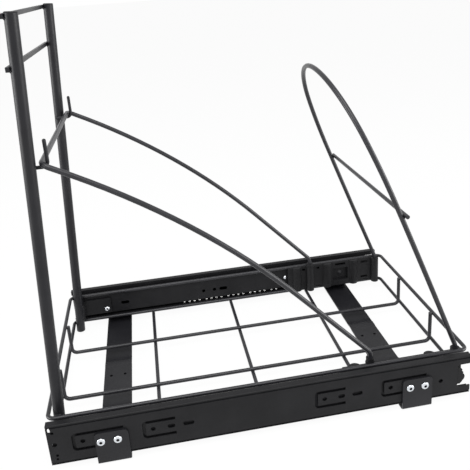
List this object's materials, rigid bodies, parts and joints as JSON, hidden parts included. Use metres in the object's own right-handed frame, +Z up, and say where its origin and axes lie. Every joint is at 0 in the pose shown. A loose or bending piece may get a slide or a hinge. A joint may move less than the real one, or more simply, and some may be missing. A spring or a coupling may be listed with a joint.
{
  "type": "pull out bin frame",
  "caption": "Floor-mounted pull-out bin frame: wire basket on full-extension ball slides, front posts with hooks, lift-out bail and leaning lift-out hoop.",
  "frame": {"origin": "centre of the footprint on the cabinet floor", "axes": "+Z up; -Y towards the front of the cabinet, the way the basket pulls out; +X to the right of someone who looks into the cabinet"},
  "size_m": [0.3218, 0.5174, 0.5026],
  "materials": {
    "black_steel": "satin black powder coat",
    "zinc_screw": "bright zinc plated",
    "bearing_ball": "polished steel",
    "cage_steel": "plain steel strip",
    "black_plastic": "moulded black"
  },
  "bodies": {
    "base": {"front_strap": "black_steel", "rear_strap": "black_steel", "left_outer_rail": "black_steel", "right_outer_rail": "black_steel", "strap_screws": "zinc_screw", "left_damper": "black_plastic", "right_damper": "black_plastic"},
    "outer_cages": {"left_outer_cage": "cage_steel", "right_outer_cage": "cage_steel", "outer_balls": "bearing_ball"},
    "middle_rails": {"left_middle_rail": "black_steel", "right_middle_rail": "black_steel"},
    "inner_cages": {"left_inner_cage": "cage_steel", "right_inner_cage": "cage_steel", "inner_balls": "bearing_ball"},
    "carriage": {"left_inner_rail": "black_steel", "right_inner_rail": "black_steel", "rail_rivets": "zinc_screw", "upper_rim_wire": "black_steel", "lower_rim_wire": "black_steel", "left_long_wire": "black_steel", "right_long_wire": "black_steel", "front_cross_wire": "black_steel", "middle_cross_wire": "black_steel", "rear_cross_wire": "black_steel", "left_post": "black_steel", "right_post": "black_steel", "post_caps": "black_plastic", "top_bar": "black_steel", "door_bar": "black_steel", "left_hook": "black_steel", "right_hook": "black_steel", "left_post_plate": "black_steel", "right_post_plate": "black_steel", "left_socket_bracket": "black_plastic", "right_socket_bracket": "black_plastic", "plate_screws": "zinc_screw", "bracket_screws": "black_steel"},
    "bail": {"bail_wire": "black_steel"},
    "hoop": {"hoop_wire": "black_steel", "hoop_cross_wire": "black_steel"}
  },
  "joints": [
    {"name": "carriage_slide", "type": "slide", "parent": "base", "child": "carriage", "axis": [0, -1, 0], "range_m": [0, 0.5]},
    {"name": "middle_slide", "type": "slide", "parent": "base", "child": "middle_rails", "axis": [0, -1, 0], "range_m": [0, 0.25]},
    {"name": "outer_cage_slide", "type": "slide", "parent": "base", "child": "outer_cages", "axis": [0, -1, 0], "range_m": [0, 0.125]},
    {"name": "inner_cage_slide", "type": "slide", "parent": "base", "child": "inner_cages", "axis": [0, -1, 0], "range_m": [0, 0.375]},
    {"name": "bail_lift", "type": "slide", "parent": "carriage", "child": "bail", "axis": [0, 0, 1], "range_m": [0, 0.025]},
    {"name": "hoop_lift", "type": "slide", "parent": "carriage", "child": "hoop", "axis": [0, 0, 1], "range_m": [0, 0.06]}
  ],
  "couplings": [
    {"joint": "middle_slide", "follows": "carriage_slide", "ratio": 0.5},
    {"joint": "outer_cage_slide", "follows": "carriage_slide", "ratio": 0.25},
    {"joint": "inner_cage_slide", "follows": "carriage_slide", "ratio": 0.75}
  ]
}
